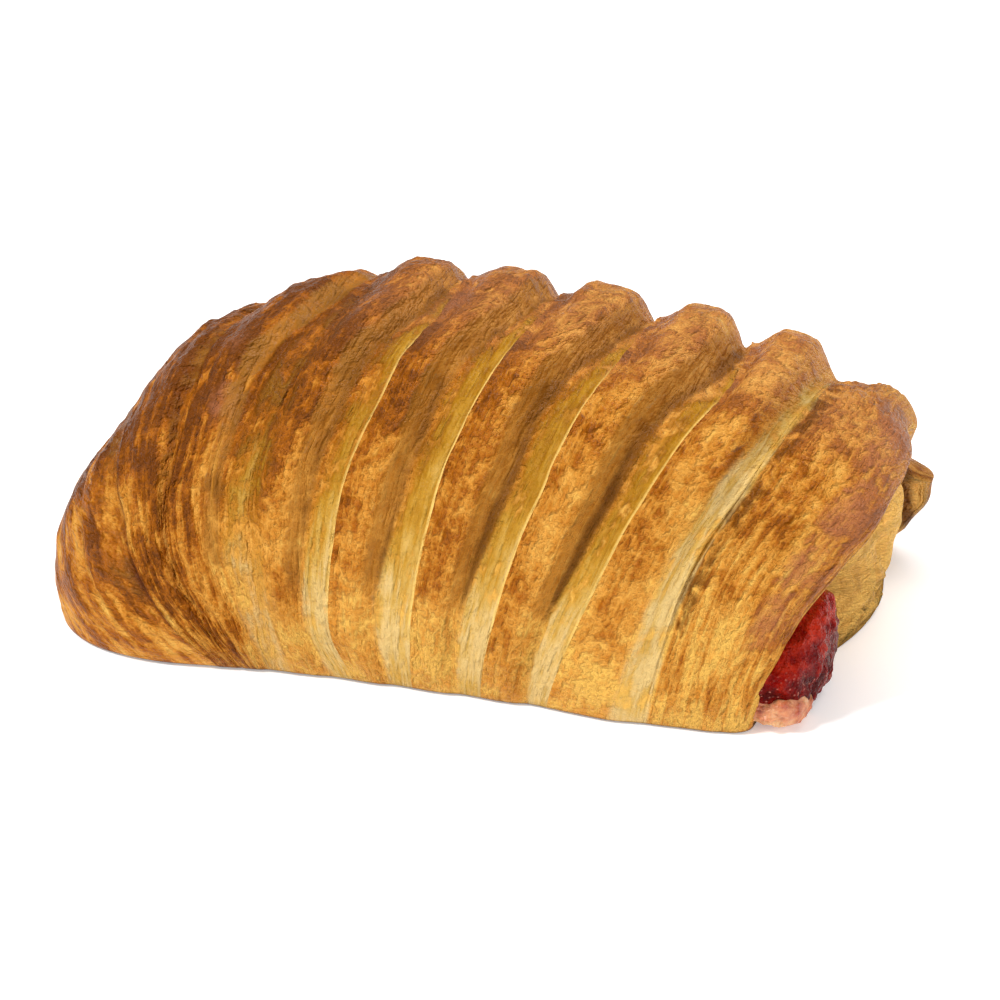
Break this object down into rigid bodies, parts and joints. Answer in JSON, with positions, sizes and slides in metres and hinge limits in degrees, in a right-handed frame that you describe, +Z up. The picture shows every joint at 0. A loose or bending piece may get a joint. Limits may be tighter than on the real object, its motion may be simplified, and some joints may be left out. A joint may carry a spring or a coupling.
{
  "type": "filled croissant",
  "caption": "Baked croissant pocket of slashed, flaky dough, sealed at one end and open at the other, where strawberry jam and soft cheese swell out.",
  "frame": {"origin": "middle of the flat base, under the middle of the object's box", "axes": "+X along the loaf towards its open end, -Y towards the slashed front, +Z up"},
  "size_m": [0.1406, 0.0804, 0.0548],
  "materials": {
    "crust": "golden brown baked crust, satin with egg wash",
    "jam": "wet dark red strawberry jam",
    "cheese": "soft cheese stained pink by the jam"
  },
  "bodies": {
    "root": {"dough": "crust", "strawberry_filling": "jam", "cheese_filling": "cheese"}
  },
  "joints": []
}
